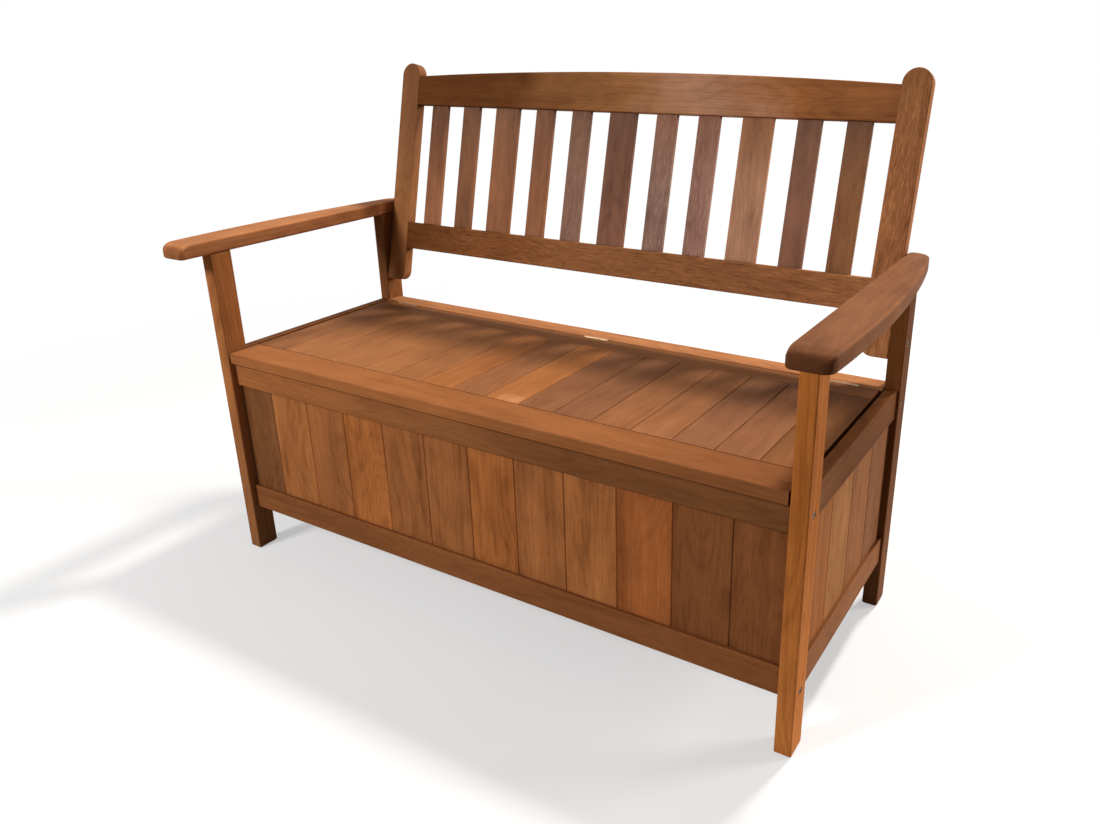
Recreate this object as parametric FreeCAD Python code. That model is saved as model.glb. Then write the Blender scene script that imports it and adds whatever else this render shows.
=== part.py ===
import FreeCAD
import Part
import math
import os

from FreeCAD import Placement, Rotation, Vector

# Garden storage bench, millimetres. While it is built, X runs along the bench, Y runs back from the
# front face of the front legs and Z runs up from the floor. At the end every piece is shifted so
# that the origin lies under the middle of the whole bench.

# Legs
leg_span = 1123.0              # over the outer faces of the left and right legs
frame_depth = 458.0            # front face of the front legs to rear face of the rear legs
leg_width = 25.5               # leg section along the bench
leg_depth = 42.0               # leg section front to back
leg_height = 589.0             # floor to the underside of the armrest
leg_round = 2.5                # rounding of the long leg edges
foot_chamfer = 3.0

# Chest panels
rail_thick = 18.0
rail_round = 1.5
long_rail_setback = 11.5       # front and rear rails behind the faces of the legs
side_rail_setback = 4.5        # end rails behind the outer faces of the legs
bottom_rail_z = 90.0           # floor to the underside of the bottom rails
bottom_rail_height = 46.0
long_top_rail_height = 44.0
side_top_rail_height = 51.0
tenon_length = 14.0            # end rails into the legs
tenon_shoulder = 5.0           # rail face to tenon face
tenon_haunch = 14.0            # rail edge to tenon edge

# Upright boards, tongue and groove
board_thick = 9.0
board_recess = 6.5             # rail face to board face
long_board_pitch = 91.0
long_board_count = 12
side_board_count = 4
board_bevel = 1.2
tongue_length = 5.0
tongue_thick = 3.0
rail_groove_depth = 8.0
wood_fit = 0.2                 # play of boards, slats and tenons in their grooves
board_gap = 0.5                # open joint between neighbouring upright boards

# Floor of the chest
floor_thick = 9.0
floor_board_count = 12
floor_board_gap = 4.0
floor_edge_gap = 1.0           # floor boards to the panels round them
cleat_size = 18.0
cleat_rise = 3.0               # underside of the bottom rails to the underside of the cleats

# Seat lid
seat_height = 407.0            # floor to the top of the lid
lid_thick = 20.0
lid_front_setback = 2.5        # lid front edge behind the front faces of the legs
lid_end_gap = 3.4              # lid ends to the nearest leg or end rail
lid_rest_gap = 0.3             # underside of the lid to the rail that it rests on
lid_front_rail_width = 65.0
lid_rear_rail_width = 42.0
lid_rail_round = 2.5
lid_slat_count = 16
lid_slat_bevel = 1.0
lid_slat_gap = 0.9             # open joint between slats, and between slats and lid rails
lid_tongue_length = 8.0        # slat ends into the lid rails
lid_tongue_thick = 7.0
batten_width = 45.0
batten_thick = 18.0
batten_inset = 70.0            # lid end to the outer edge of an end batten
batten_clear = 15.0            # front rail, and rear edge of the lid, to the ends of the battens

# Fixed hinge rail behind the lid
hinge_rail_width = 40.0
hinge_rail_setback = 10.5      # hinge rail in front of the rear faces of the legs

# Hinges
hinge_axis_drop = 1.2          # top of the lid down to the hinge pins
hinge_length = 50.0
hinge_inset = 34.0             # lid end to the outer end of an end hinge
knuckle_radius = 2.2
knuckle_count = 3
knuckle_play = 0.3             # along the pin, between neighbouring knuckles
leaf_thick = 1.2
leaf_height = 17.0
leaf_clear = 0.35               # knuckles to the wood beside them, and to the other leaf
pin_radius = 1.1
pin_fit = 0.05
leaf_hole_count = 2            # countersunk screw holes in each leaf
leaf_hole_radius = 1.7
leaf_sink_radius = 3.0

# Bolts and barrel nuts
bolt_radius = 3.0
bolt_length = 52.0             # under the head
bolt_head_radius = 5.0
bolt_head_height = 3.5
bolt_socket = 4.0              # across the flats of the hexagon socket
bolt_socket_depth = 2.2
counterbore_radius = 6.0
counterbore_depth = 4.0
bolt_fit = 0.3
thread_fit = 0.05
bolt_edge = 12.5               # bolts in from the outer edges of the front and rear panels
barrel_nut_radius = 5.0
barrel_nut_length = 14.0
barrel_nut_reach = 22.0        # rail end to the middle of the barrel nut
barrel_nut_fit = 0.2

# Armrests
arm_thick = 25.0
arm_front_overhang = 57.0      # front faces of the legs to the front end of the armrest
arm_rear_overhang = 27.0       # rear faces of the legs to the rear end of the armrest
arm_front_width = 57.5
arm_widest = 64.0
arm_widest_y = 110.0           # front faces of the legs to the widest place
arm_rear_width = 33.0
arm_front_corner = 17.0
arm_inner_front_corner = 9.0
arm_rear_corner = 26.0
arm_inner_rear_corner = 9.0
arm_roll_radius = 30.0         # roll of the top down to the front end
arm_roll_drop = 15.0           # how far the roll comes down
arm_top_round = 4.0
arm_bottom_round = 4.5

# Dowels
dowel_radius = 5.0
dowel_in_leg = 22.0            # below an armrest
dowel_in_arm = 13.0
dowel_in_stile = 16.0
dowel_beside_stile = 14.0      # into the leg that carries the stile
dowel_fit = 0.1

# Back, leaning; heights run up the slope from the lower end of the stiles
back_lean = 13.8               # degrees from upright
stile_foot_z = 454.8           # floor to the lower front edge of the stiles
stile_length = 446.0
stile_width = 46.0
stile_thick = 23.0
stile_foot_corner = 19.0
stile_round = 2.5
back_rail_thick = 20.0
back_rail_round = 2.5
back_bottom_rail_rise = 69.0
back_bottom_rail_height = 54.5
back_top_rail_rise = 364.0
back_top_rail_height = 57.0
back_top_rail_bow = 13.0       # how much higher the top rail is in the middle
back_tenon_length = 14.0
back_tenon_haunch = 10.0
back_tenon_shoulder = 5.0
slat_pattern = "nnwnnwnnwnn"   # narrow and wide back slats, left to right
narrow_slat = 41.0
wide_slat = 56.0
slat_thick = 8.5
slat_round = 1.0
slat_end_gap = 36.0            # stile to the nearest slat
slat_in_rail = 9.0
stile_bolt_rise = 28.0
stile_bolt_reach = 20.0        # stile face to the middle of its barrel nut
stile_dowel_rise = 57.0

# Places that follow from the sizes above
leg_out = leg_span / 2
leg_in = leg_out - leg_width
rear_leg_y = frame_depth - leg_depth
front_rail_y = long_rail_setback
rear_rail_y = frame_depth - long_rail_setback - rail_thick
side_rail_x = leg_out - side_rail_setback - rail_thick
bottom_rail_top = bottom_rail_z + bottom_rail_height
lid_under = seat_height - lid_thick
long_rail_top = lid_under - lid_rest_gap
long_top_rail_z = long_rail_top - long_top_rail_height
side_top_rail_z = seat_height - side_top_rail_height
hinge_axis_z = seat_height - hinge_axis_drop
edge_to_axis = knuckle_radius + leaf_clear
hinge_rail_y = frame_depth - hinge_rail_setback - hinge_rail_width
hinge_axis_y = hinge_rail_y - edge_to_axis
lid_rear_y = hinge_axis_y - edge_to_axis
lid_half = min(leg_in, side_rail_x) - lid_end_gap
hinge_centres = [-(lid_half - hinge_inset - hinge_length / 2), 0.0,
                 lid_half - hinge_inset - hinge_length / 2]
batten_centres = [-(lid_half - batten_inset - batten_width / 2), 0.0,
                  lid_half - batten_inset - batten_width / 2]
stile_in = leg_in - stile_width
lean_sin = math.sin(math.radians(back_lean))
lean_cos = math.cos(math.radians(back_lean))

# In the leaning back X runs along the bench, Y runs up the slope and Z comes out of the front face
back_place = Placement(Vector(0, rear_leg_y, stile_foot_z), Rotation(Vector(1, 0, 0), 90 - back_lean))

pieces = {}


def box(x0, x1, y0, y1, z0, z1):
    return Part.makeBox(x1 - x0, y1 - y0, z1 - z0, Vector(x0, y0, z0))


def mirrored(shape):
    return shape.mirror(Vector(0, 0, 0), Vector(1, 0, 0))


def rod(radius, length, start, direction):
    return Part.makeCylinder(radius, length, start, direction)


def edges_along(shape, axis, keep=lambda middle: True):
    """The straight edges that run along an axis, at the places that keep allows."""
    found = []
    for edge in shape.Edges:
        if edge.Curve.TypeId != "Part::GeomLine":
            continue
        run = edge.Vertexes[-1].Point - edge.Vertexes[0].Point
        if abs(run.normalize().dot(axis)) > 0.999 and keep(edge.CenterOfMass):
            found.append(edge)
    return found


def rounded_bar(x0, x1, y0, y1, z0, z1, radius, axis):
    """A bar with rounded long edges; the rounding is limited by the section of the bar."""
    bar = box(x0, x1, y0, y1, z0, z1)
    sides = [side for side, along in zip((x1 - x0, y1 - y0, z1 - z0), axis) if not along]
    return bar.makeFillet(min(radius, 0.4 * min(sides)), edges_along(bar, axis))


along_x = Vector(1, 0, 0)
along_y = Vector(0, 1, 0)
along_z = Vector(0, 0, 1)


# Fasteners. Each joint lists its bolts here, and the pieces that they pass are drilled for them.
bolts = []                     # head seat, direction, barrel nut middle, barrel nut axis


def bolt_drills():
    """Clearance holes and counterbores for all the bolts."""
    drills = []
    for seat, direction, nut, nut_axis in bolts:
        mouth = seat - direction * counterbore_depth
        drills.append(rod(counterbore_radius, counterbore_depth, mouth, direction))
        drills.append(rod(bolt_radius + bolt_fit, bolt_length + bolt_fit, seat, direction))
        foot = nut - nut_axis * (barrel_nut_length / 2)
        drills.append(rod(barrel_nut_radius + barrel_nut_fit, 3 * barrel_nut_length, foot, nut_axis))
    return drills


def hexagon(flats, height, centre, direction):
    corner = flats / math.sqrt(3)
    points = [Vector(corner * math.cos(math.radians(60 * k)), corner * math.sin(math.radians(60 * k)), 0)
              for k in range(7)]
    prism = Part.Face(Part.makePolygon(points)).extrude(Vector(0, 0, height))
    prism.Placement = Placement(centre, Rotation(Vector(0, 0, 1), direction))
    return prism


def make_bolt(seat, direction):
    head_top = seat - direction * bolt_head_height
    head = rod(bolt_head_radius, bolt_head_height, head_top, direction)
    shank = rod(bolt_radius, bolt_length, seat, direction)
    socket = hexagon(bolt_socket, bolt_socket_depth, head_top, direction)
    return head.fuse(shank).removeSplitter().cut(socket)


def make_barrel_nut(seat, direction, nut, nut_axis):
    foot = nut - nut_axis * (barrel_nut_length / 2)
    nut_body = rod(barrel_nut_radius, barrel_nut_length, foot, nut_axis)
    return nut_body.cut(rod(bolt_radius + thread_fit, bolt_length, seat, direction))


def plan_bolts():
    for side in (-1, 1):
        inward = Vector(-side, 0, 0)
        seat_x = side * (leg_out - counterbore_depth)
        nut_x = side * (leg_in - barrel_nut_reach)
        for y, toward_inside in ((front_rail_y + rail_thick / 2, 1), (rear_rail_y + rail_thick / 2, -1)):
            for z in (bottom_rail_z + bolt_edge, long_rail_top - bolt_edge):
                nut_axis = Vector(0, toward_inside, 0)
                bolts.append((Vector(seat_x, y, z), inward, Vector(nut_x, y, z), nut_axis))
        nut_x = side * (leg_in - stile_bolt_reach)
        seat = back_place.multVec(Vector(seat_x, stile_bolt_rise, -stile_thick / 2))
        nut = back_place.multVec(Vector(nut_x, stile_bolt_rise, -stile_thick / 2))
        bolts.append((seat, inward, nut, Vector(0, lean_cos, -lean_sin)))


plan_bolts()
drilling = Part.makeCompound(bolt_drills())


def drilled(shape):
    return shape.cut(drilling)


# Chest rails and their boards


def groove(x0, x1, y0, y1, z0, z1):
    """A groove for the board edges, with the play that the boards have in it."""
    return box(x0, x1, y0 - wood_fit, y1 + wood_fit, z0, z1)


def make_long_rails(name, rail_y, board_y):
    """The top and bottom rail of the front or rear panel, grooved for the boards."""
    ends = (-leg_in, leg_in)
    depth = (rail_y, rail_y + rail_thick)
    boards = (board_y, board_y + board_thick)
    low = rounded_bar(*ends, *depth, bottom_rail_z, bottom_rail_top, rail_round, along_x)
    high = rounded_bar(*ends, *depth, long_top_rail_z, long_rail_top, rail_round, along_x)
    low = low.cut(groove(*ends, *boards, bottom_rail_top - rail_groove_depth, bottom_rail_top))
    high = high.cut(groove(*ends, *boards, long_top_rail_z, long_top_rail_z + rail_groove_depth))
    pieces[name + "_bottom_rail"] = drilled(low)
    pieces[name + "_top_rail"] = drilled(high)


def tongued_board(width, height, thick, bevel, gap, has_tongue, has_groove):
    """An upright board from x = 0, face at y = 0, with a tongue on the right and a groove on the left."""
    middle = thick / 2
    half = tongue_thick / 2
    half_slot = half + wood_fit
    points = [(bevel, 0), (width - bevel, 0), (width, bevel)]
    if has_tongue:
        points += [(width, middle - half), (width + tongue_length, middle - half),
                   (width + tongue_length, middle + half), (width, middle + half)]
    points += [(width, thick), (0, thick)]
    if has_groove:
        slot = tongue_length + wood_fit - gap
        points += [(0, middle + half_slot), (slot, middle + half_slot),
                   (slot, middle - half_slot), (0, middle - half_slot)]
    points += [(0, bevel), (bevel, 0)]
    outline = Part.makePolygon([Vector(x, y, 0) for x, y in points])
    return Part.Face(outline).extrude(Vector(0, 0, height))


def board_row(edges, height, thick, bevel, gap):
    """A row of tongued boards between the given edges, face at y = 0, standing on z = 0."""
    row = []
    last = len(edges) - 2
    for index in range(last + 1):
        x0 = edges[index] + gap / 2
        x1 = edges[index + 1] - gap / 2
        board = tongued_board(x1 - x0, height, thick, bevel, gap, index < last, index > 0)
        row.append(board.translated(Vector(x0, 0, 0)))
    return row


def long_board_edges():
    """Full boards about the middle, with the end boards trimmed to the legs."""
    inner = [(k - long_board_count / 2) * long_board_pitch for k in range(1, long_board_count)]
    return [-leg_in + wood_fit] + inner + [leg_in - wood_fit]


def make_panel_boards():
    bottom = bottom_rail_top - rail_groove_depth + wood_fit
    long_height = long_top_rail_z + rail_groove_depth - wood_fit - bottom
    row = Part.makeCompound(board_row(long_board_edges(), long_height, board_thick, board_bevel, board_gap))
    pieces["front_boards"] = row.translated(Vector(0, front_rail_y + board_recess, bottom))
    turned = row.copy()
    turned.rotate(Vector(0, 0, 0), along_z, 180)
    pieces["rear_boards"] = turned.translated(Vector(0, rear_rail_y + rail_thick - board_recess, bottom))

    side_height = side_top_rail_z + rail_groove_depth - wood_fit - bottom
    front = leg_depth + wood_fit
    pitch = (rear_leg_y - wood_fit - front) / side_board_count
    edges = [front + k * pitch for k in range(side_board_count + 1)]
    row = Part.makeCompound(board_row(edges, side_height, board_thick, board_bevel, board_gap))
    row.rotate(Vector(0, 0, 0), along_z, 90)
    row = row.translated(Vector(side_rail_x + rail_thick - board_recess, 0, bottom))
    pieces["right_side_boards"] = row
    pieces["left_side_boards"] = mirrored(row)


def tenon_box(x0, z0, z1, y0, y1, play):
    return box(x0 + tenon_shoulder - play, x0 + rail_thick - tenon_shoulder + play, y0, y1,
               z0 + tenon_haunch - play, z1 - tenon_haunch + play)


side_rail_heights = {"bottom": (bottom_rail_z, bottom_rail_top), "top": (side_top_rail_z, seat_height)}


def make_side_rails():
    """The end rails, tenoned into the legs and grooved for the boards."""
    board_x = side_rail_x + rail_thick - board_recess - board_thick
    ends = (leg_depth, rear_leg_y)
    for level, (z0, z1) in side_rail_heights.items():
        rail = rounded_bar(side_rail_x, side_rail_x + rail_thick, *ends, z0, z1, rail_round, along_y)
        tenons = tenon_box(side_rail_x, z0, z1, ends[0] - tenon_length + wood_fit,
                           ends[1] + tenon_length - wood_fit, 0)
        groove_z = z0 if level == "top" else z1 - rail_groove_depth
        slot = box(board_x - wood_fit, board_x + board_thick + wood_fit, *ends, groove_z,
                   groove_z + rail_groove_depth)
        rail = rail.cut(slot).fuse(tenons.cut(slot)).removeSplitter()
        pieces["right_side_" + level + "_rail"] = rail
        pieces["left_side_" + level + "_rail"] = mirrored(rail)


# Legs and armrests


def plan_dowels():
    """Start, direction and length of the dowels under the armrests and beside the stiles."""
    found = []
    middle_x = leg_out - leg_width / 2
    stile_x = leg_in - dowel_in_stile
    for side in (-1, 1):
        for y in (leg_depth / 2, rear_leg_y + leg_depth / 2):
            start = Vector(side * middle_x, y, leg_height - dowel_in_leg)
            found.append((start, along_z, dowel_in_leg + dowel_in_arm))
        start = back_place.multVec(Vector(side * stile_x, stile_dowel_rise, -stile_thick / 2))
        found.append((start, along_x * side, dowel_in_stile + dowel_beside_stile))
    return found


def make_dowels():
    pieces["dowels"] = Part.makeCompound([rod(dowel_radius, length, start, direction)
                                          for start, direction, length in plan_dowels()])


def dowel_holes():
    return Part.makeCompound([
        rod(dowel_radius + dowel_fit, length + 2 * dowel_fit, start - direction * dowel_fit, direction)
        for start, direction, length in plan_dowels()])


def make_leg(y0, mortise_y):
    """A right-hand leg with the mortises for the end rails."""
    leg = rounded_bar(leg_in, leg_out, y0, y0 + leg_depth, 0, leg_height, leg_round, along_z)
    sole = [edge for edge in leg.Edges if edge.BoundBox.ZMax < 0.01]
    leg = leg.makeChamfer(foot_chamfer, sole)
    mortises = [tenon_box(side_rail_x, z0, z1, mortise_y, mortise_y + tenon_length, wood_fit)
                for z0, z1 in side_rail_heights.values()]
    return leg.cut(Part.makeCompound(mortises))


def make_legs():
    front = make_leg(0, leg_depth - tenon_length)
    rear = make_leg(rear_leg_y, rear_leg_y)
    holes = dowel_holes()
    for name, leg in (("front", front), ("rear", rear)):
        pieces[name + "_right_leg"] = drilled(leg).cut(holes)
        pieces[name + "_left_leg"] = drilled(mirrored(leg)).cut(holes)


def make_armrests():
    """Straight inside, one long bow outside, the top rolled down in front, all edges softened."""
    front_y = -arm_front_overhang
    rear_y = frame_depth + arm_rear_overhang
    inner_front = Vector(leg_in, front_y, 0)
    outer_front = Vector(leg_in + arm_front_width, front_y, 0)
    widest = Vector(leg_in + arm_widest, arm_widest_y, 0)
    outer_rear = Vector(leg_in + arm_rear_width, rear_y, 0)
    inner_rear = Vector(leg_in, rear_y, 0)
    outline = Part.Wire([
        Part.LineSegment(inner_front, outer_front).toShape(),
        Part.Arc(outer_front, widest, outer_rear).toShape(),
        Part.LineSegment(outer_rear, inner_rear).toShape(),
        Part.LineSegment(inner_rear, inner_front).toShape(),
    ])
    arm = Part.Face(outline).extrude(Vector(0, 0, arm_thick)).translated(Vector(0, 0, leg_height))
    for corner, radius in ((inner_front, arm_inner_front_corner), (outer_front, arm_front_corner),
                           (outer_rear, arm_rear_corner), (inner_rear, arm_inner_rear_corner)):
        upright = edges_along(arm, along_z,
                              lambda middle: math.hypot(middle.x - corner.x, middle.y - corner.y) < 0.1)
        arm = arm.makeFillet(radius, upright)
    top = leg_height + arm_thick
    roll_y = front_y + math.sqrt(arm_roll_radius ** 2 - (arm_roll_radius - arm_roll_drop) ** 2)
    in_front = box(leg_in - 1, leg_in + arm_widest + 1, front_y - 1, roll_y, top - arm_roll_radius, top + 1)
    roll = rod(arm_roll_radius, arm_widest + 2, Vector(leg_in - 1, roll_y, top - arm_roll_radius), along_x)
    arm = arm.cut(in_front.cut(roll))
    rim = [edge for edge in arm.Edges if edge.BoundBox.ZMin > top - arm_roll_drop - 0.01
           and not roll_y - 0.01 < edge.BoundBox.YMin < edge.BoundBox.YMax < roll_y + 0.01]
    arm = arm.makeFillet(arm_top_round, rim)
    arm = arm.makeFillet(arm_bottom_round, [e for e in arm.Edges if e.BoundBox.ZMax < leg_height + 0.01])
    holes = dowel_holes()
    pieces["right_armrest"] = arm.cut(holes)
    pieces["left_armrest"] = mirrored(arm).cut(holes)


# Leaning back


def slat_widths():
    return [wide_slat if kind == "w" else narrow_slat for kind in slat_pattern]


def slat_starts():
    widths = slat_widths()
    gap = (2 * (stile_in - slat_end_gap) - sum(widths)) / (len(widths) - 1)
    starts = []
    x = -stile_in + slat_end_gap
    for width in widths:
        starts.append(x)
        x += width + gap
    return starts


back_rail_face = -(stile_thick - back_rail_thick) / 2
slat_face = -(stile_thick - slat_thick) / 2
slat_low = back_bottom_rail_rise + back_bottom_rail_height - slat_in_rail
slat_high = back_top_rail_rise + slat_in_rail


def slat_pockets():
    return Part.makeCompound([
        box(x - wood_fit, x + width + wood_fit, slat_low - wood_fit, slat_high + wood_fit,
            slat_face - slat_thick - wood_fit, slat_face + wood_fit)
        for x, width in zip(slat_starts(), slat_widths())])


def back_tenons(rise, height, reach, play):
    """The tenons of a back rail as one bar through the rail, or with play their mortises."""
    face = back_rail_face - back_tenon_shoulder
    return box(-stile_in - reach, stile_in + reach, rise + back_tenon_haunch - play,
               rise + height - back_tenon_haunch + play,
               face - back_rail_thick + 2 * back_tenon_shoulder - play, face + play)


def make_back_rails():
    bottom = rounded_bar(-stile_in, stile_in, back_bottom_rail_rise,
                         back_bottom_rail_rise + back_bottom_rail_height,
                         back_rail_face - back_rail_thick, back_rail_face, back_rail_round, along_x)
    low = back_top_rail_rise
    high = back_top_rail_rise + back_top_rail_height
    corners = [Vector(-stile_in, high, 0), Vector(-stile_in, low, 0), Vector(stile_in, low, 0),
               Vector(stile_in, high, 0)]
    crown = Part.Arc(corners[3], Vector(0, high + back_top_rail_bow, 0), corners[0]).toShape()
    outline = Part.Wire(Part.makePolygon(corners).Edges + [crown])
    top = Part.Face(outline).extrude(Vector(0, 0, -back_rail_thick)).translated(Vector(0, 0, back_rail_face))
    long_edges = [edge for edge in top.Edges if edge.BoundBox.XLength > stile_in]
    top = top.makeFillet(back_rail_round, long_edges)
    pockets = slat_pockets()
    for name, rail, rise, height in (
            ("back_bottom_rail", bottom, back_bottom_rail_rise, back_bottom_rail_height),
            ("back_top_rail", top, back_top_rail_rise, back_top_rail_height)):
        tenons = back_tenons(rise, height, back_tenon_length - wood_fit, 0)
        pieces[name] = in_place(rail.fuse(tenons).removeSplitter().cut(pockets))


def in_place(shape):
    placed = shape.copy()
    placed.Placement = back_place.multiply(placed.Placement)
    return placed


def make_stiles():
    """Half-round top, one rounded lower corner, mortised for the rails, bolted to the leg."""
    radius = stile_width / 2
    crown_y = stile_length - radius
    inner, outer = stile_in, leg_in
    corner = stile_foot_corner
    shoulder = corner * (1 - math.sqrt(0.5))
    outline = Part.Wire([
        Part.LineSegment(Vector(outer, 0, 0), Vector(outer, crown_y, 0)).toShape(),
        Part.Arc(Vector(outer, crown_y, 0), Vector(inner + radius, stile_length, 0),
                 Vector(inner, crown_y, 0)).toShape(),
        Part.LineSegment(Vector(inner, crown_y, 0), Vector(inner, corner, 0)).toShape(),
        Part.Arc(Vector(inner, corner, 0), Vector(inner + shoulder, shoulder, 0),
                 Vector(inner + corner, 0, 0)).toShape(),
        Part.LineSegment(Vector(inner + corner, 0, 0), Vector(outer, 0, 0)).toShape(),
    ])
    stile = Part.Face(outline).extrude(Vector(0, 0, -stile_thick))
    stile = stile.makeFillet(stile_round, [edge for edge in stile.Edges if edge.BoundBox.ZLength < 0.01])
    for rise, height in ((back_bottom_rail_rise, back_bottom_rail_height),
                         (back_top_rail_rise, back_top_rail_height)):
        stile = stile.cut(back_tenons(rise, height, back_tenon_length, wood_fit))
    holes = dowel_holes()
    pieces["right_back_stile"] = drilled(in_place(stile)).cut(holes)
    pieces["left_back_stile"] = drilled(in_place(mirrored(stile))).cut(holes)


def make_back_slats():
    for number, (x, width) in enumerate(zip(slat_starts(), slat_widths()), 1):
        slat = rounded_bar(x, x + width, slat_low, slat_high, slat_face - slat_thick, slat_face,
                           slat_round, along_y)
        pieces[f"back_slat_{number:02d}"] = in_place(slat)


# Seat lid and hinges


def make_leaf(side):
    """One hinge leaf about the middle of its pin at the origin, hanging behind the edge of the lid."""
    half = hinge_length / 2
    wood_y = -edge_to_axis
    open_y = wood_y + leaf_thick
    plate_top = -knuckle_radius - leaf_clear
    leaf = box(-half, half, wood_y, open_y, -leaf_height, plate_top)
    pitch = hinge_length / knuckle_count
    for index in range(1 if side == "lid" else 0, knuckle_count, 2):
        x0 = -half + index * pitch + (knuckle_play / 2 if index > 0 else 0)
        x1 = -half + (index + 1) * pitch - (knuckle_play / 2 if index < knuckle_count - 1 else 0)
        neck = box(x0, x1, wood_y, open_y, plate_top, 0)
        leaf = leaf.fuse(neck).fuse(rod(knuckle_radius, x1 - x0, Vector(x0, 0, 0), along_x))
    leaf = leaf.removeSplitter()
    leaf = leaf.cut(rod(pin_radius + pin_fit, hinge_length, Vector(-half, 0, 0), along_x))
    hole_pitch = hinge_length / leaf_hole_count
    for index in range(leaf_hole_count):
        x = (index - (leaf_hole_count - 1) / 2) * hole_pitch
        mouth = Vector(x, open_y, (plate_top - leaf_height) / 2)
        leaf = leaf.cut(Part.makeCone(leaf_sink_radius, leaf_hole_radius, leaf_thick, mouth, -along_y))
    if side == "frame":
        leaf = leaf.mirror(Vector(0, 0, 0), along_y)
    return leaf


def make_hinges():
    for name, centre in zip(("left", "middle", "right"), hinge_centres):
        axis_middle = Vector(centre, hinge_axis_y, hinge_axis_z)
        for side in ("lid", "frame"):
            pieces[f"{name}_hinge_{side}_leaf"] = make_leaf(side).translated(axis_middle)
        start = axis_middle - along_x * (hinge_length / 2)
        pieces[f"{name}_hinge_pin"] = rod(pin_radius, hinge_length, start, along_x)


lid_front_y = lid_front_setback
slats_front_y = lid_front_y + lid_front_rail_width
slats_rear_y = lid_rear_y - lid_rear_rail_width
lid_slat_pitch = 2 * lid_half / lid_slat_count
batten_front_y = front_rail_y + rail_thick + batten_clear
batten_rear_y = lid_rear_y - batten_clear


def make_lid():
    ends = (-lid_half, lid_half)
    middle = lid_under + lid_thick / 2
    half_slot = lid_tongue_thick / 2 + wood_fit
    front = box(*ends, lid_front_y, slats_front_y, lid_under, seat_height)
    nose = edges_along(front, along_x, lambda place: place.y < lid_front_y + 1)
    front = front.makeFillet(lid_rail_round, nose)
    inner = edges_along(front, along_x, lambda place: place.y > slats_front_y - 1)
    front = front.makeChamfer(lid_slat_bevel, inner)
    front = front.cut(box(*ends, slats_front_y - lid_tongue_length, slats_front_y,
                          middle - half_slot, middle + half_slot))
    rear = box(*ends, slats_rear_y, lid_rear_y, lid_under, seat_height)
    rear = rear.makeChamfer(lid_slat_bevel, edges_along(rear, along_x))
    rear = rear.cut(box(*ends, slats_rear_y, slats_rear_y + lid_tongue_length,
                        middle - half_slot, middle + half_slot))
    pieces["lid_front_rail"] = front
    pieces["lid_rear_rail"] = rear

    # The slats are cut like the upright boards, laid face up, with their ends reduced to tongues
    edges = [-lid_half + k * lid_slat_pitch for k in range(lid_slat_count + 1)]
    length = slats_rear_y - slats_front_y + 2 * lid_tongue_length - 2 * wood_fit
    slats = Part.makeCompound(board_row(edges, length, lid_thick, lid_slat_bevel, lid_slat_gap))
    slats.rotate(Vector(0, 0, 0), along_x, -90)
    slats = slats.translated(Vector(0, slats_front_y - lid_tongue_length + wood_fit, seat_height))
    half = lid_tongue_thick / 2
    for y0, y1 in ((lid_front_y, slats_front_y + lid_slat_gap), (slats_rear_y - lid_slat_gap, lid_rear_y)):
        slats = slats.cut(box(*ends, y0, y1, middle + half, seat_height))
        slats = slats.cut(box(*ends, y0, y1, lid_under, middle - half))
    pieces["lid_slats"] = slats

    for name, x in zip(("left", "middle", "right"), batten_centres):
        pieces[f"lid_batten_{name}"] = rounded_bar(
            x - batten_width / 2, x + batten_width / 2, batten_front_y, batten_rear_y,
            lid_under - batten_thick, lid_under, rail_round, along_y)


def make_hinge_rail():
    """The fixed strip behind the lid, lying on the rear panel between the rear legs."""
    pieces["hinge_rail"] = rounded_bar(-leg_in, leg_in, hinge_rail_y, hinge_rail_y + hinge_rail_width,
                                       long_rail_top, seat_height, rail_round, along_x)


# Floor of the chest


def make_floor():
    cleat_z = bottom_rail_z + cleat_rise
    floor_z = cleat_z + cleat_size
    front = front_rail_y + rail_thick
    rear = rear_rail_y
    pieces["floor_cleat_front"] = box(-leg_in, leg_in, front, front + cleat_size, cleat_z, floor_z)
    pieces["floor_cleat_rear"] = box(-leg_in, leg_in, rear - cleat_size, rear, cleat_z, floor_z)
    half = min(leg_in, side_rail_x) - floor_edge_gap
    pitch = 2 * half / floor_board_count
    pieces["floor_boards"] = Part.makeCompound([
        box(-half + k * pitch + floor_board_gap / 2, -half + (k + 1) * pitch - floor_board_gap / 2,
            front + floor_edge_gap, rear - floor_edge_gap, floor_z, floor_z + floor_thick)
        for k in range(floor_board_count)])


def make_fasteners():
    pieces["leg_bolts"] = Part.makeCompound([make_bolt(seat, direction) for seat, direction, _, _ in bolts])
    pieces["barrel_nuts"] = Part.makeCompound([make_barrel_nut(*bolt) for bolt in bolts])


make_legs()
make_armrests()
make_dowels()
make_long_rails("front", front_rail_y, front_rail_y + board_recess)
make_long_rails("rear", rear_rail_y, rear_rail_y + rail_thick - board_recess - board_thick)
make_side_rails()
make_panel_boards()
make_floor()
make_stiles()
make_back_rails()
make_back_slats()
make_hinge_rail()
make_lid()
make_hinges()
make_fasteners()

# The origin goes under the middle of the whole bench
whole = Part.makeCompound(list(pieces.values())).optimalBoundingBox(False, False)
to_origin = Vector(0, -whole.Center.y, 0)
os.makedirs("parts", exist_ok=True)
for name, shape in pieces.items():
    shape.translated(to_origin).exportStep(f"parts/{name}.step")
print(f"{len(pieces)} pieces, {whole.XLength:.1f} x {whole.YLength:.1f} x {whole.ZLength:.1f} mm, "
      f"front leg face at y = {to_origin.y:.3f}")
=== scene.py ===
import math

import bmesh
import bpy
from mathutils import Matrix, Vector


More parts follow.
